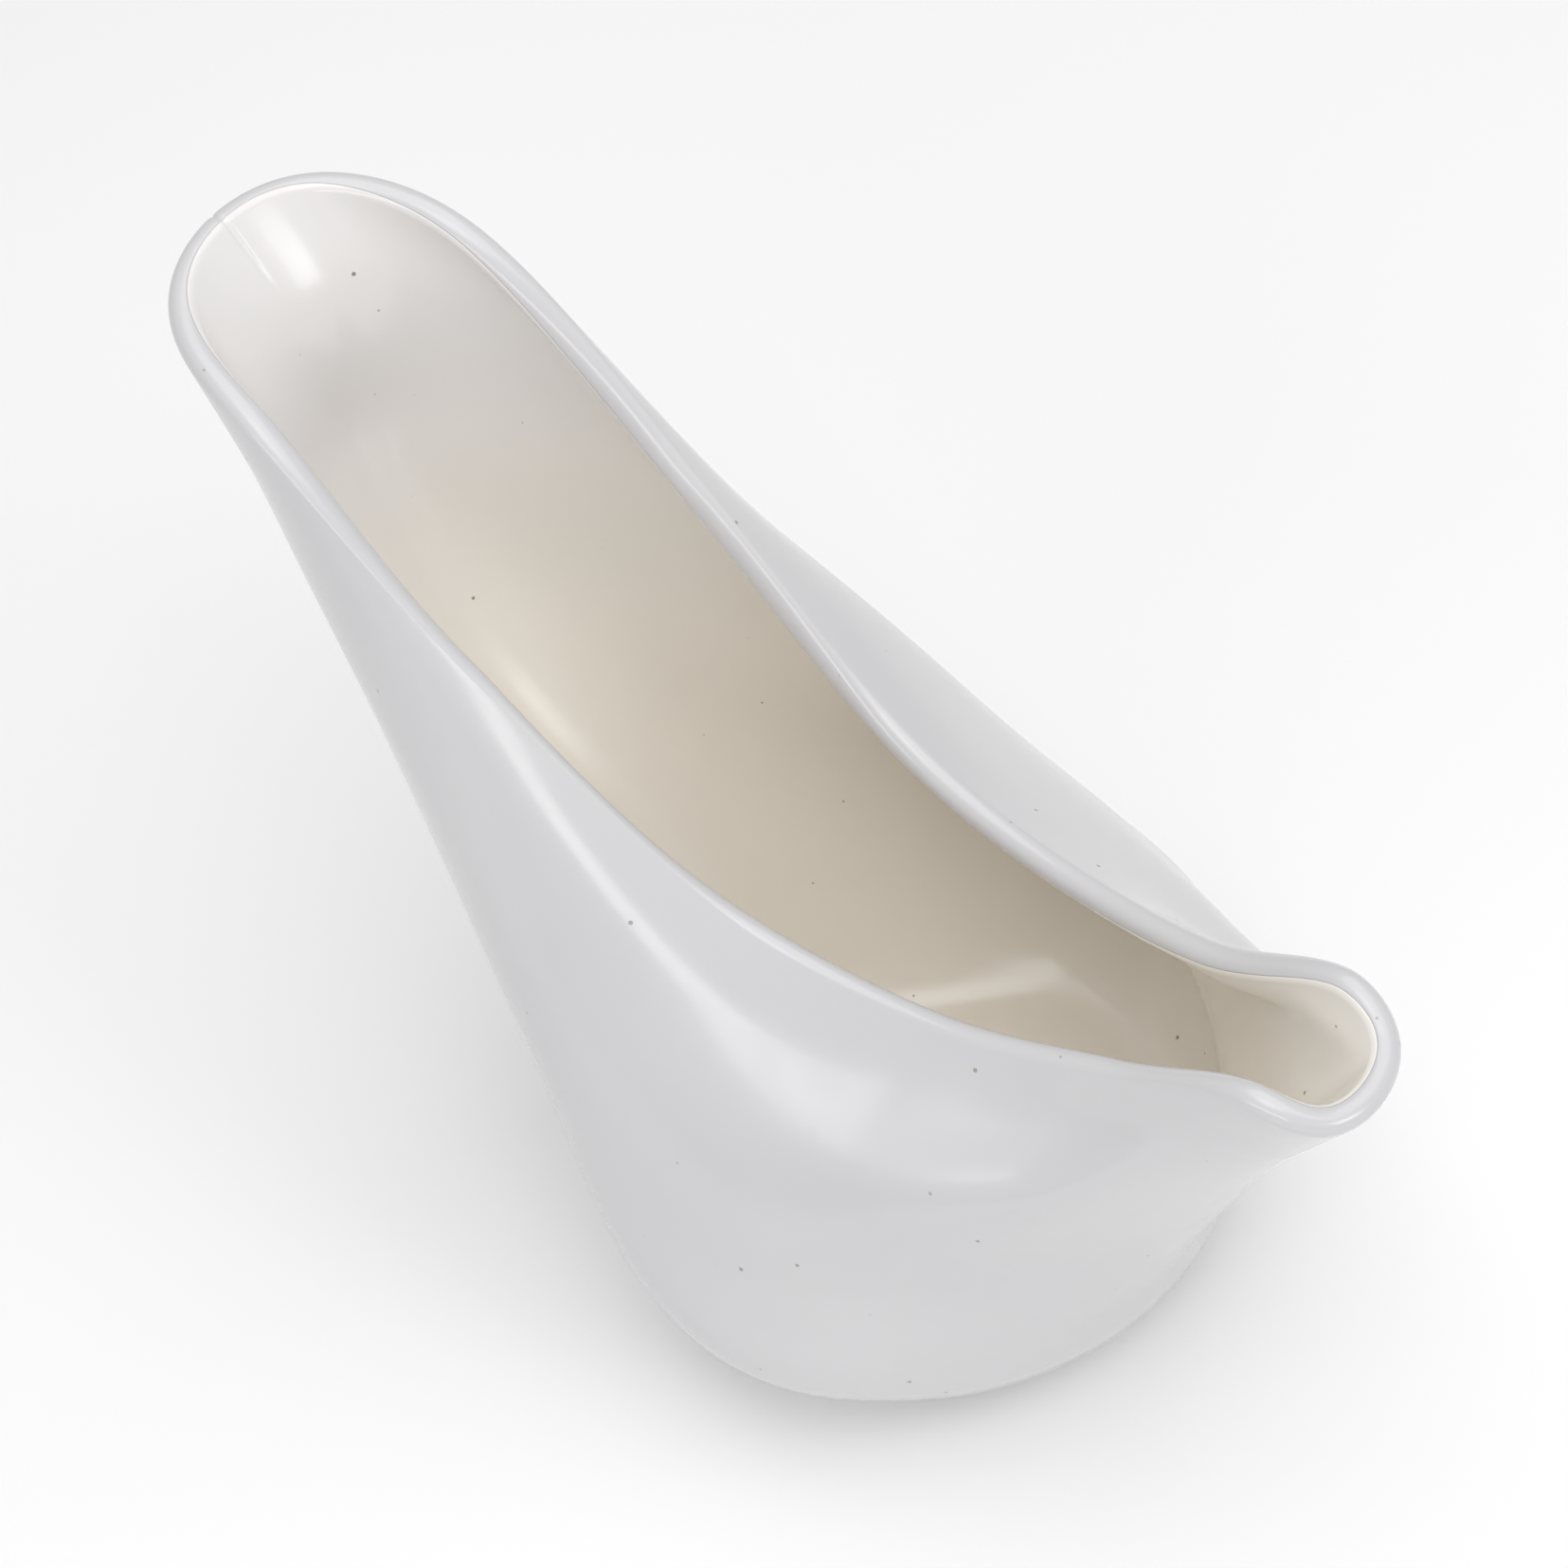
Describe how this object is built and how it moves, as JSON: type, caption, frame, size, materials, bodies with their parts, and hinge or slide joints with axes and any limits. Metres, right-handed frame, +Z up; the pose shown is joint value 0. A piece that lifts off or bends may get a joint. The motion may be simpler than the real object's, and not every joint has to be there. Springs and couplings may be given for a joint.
{
  "type": "sauce boat",
  "caption": "Glazed ceramic sauce boat: round bowl on a low foot, open trough handle rising at one end and a narrow pouring lip at the other, with a thick rounded rim.",
  "frame": {"origin": "on the ground under the middle of the foot", "axes": "+Z up, +X towards the pouring lip; the handle rises towards -X and XZ is the mirror plane"},
  "size_m": [0.1899, 0.1062, 0.1456],
  "materials": {
    "fired_clay": "matte",
    "white_glaze": "gloss",
    "cream_glaze": "gloss"
  },
  "bodies": {
    "root": {"clay_body": "fired_clay", "outer_glaze": "white_glaze", "liner_glaze": "cream_glaze"}
  },
  "joints": []
}
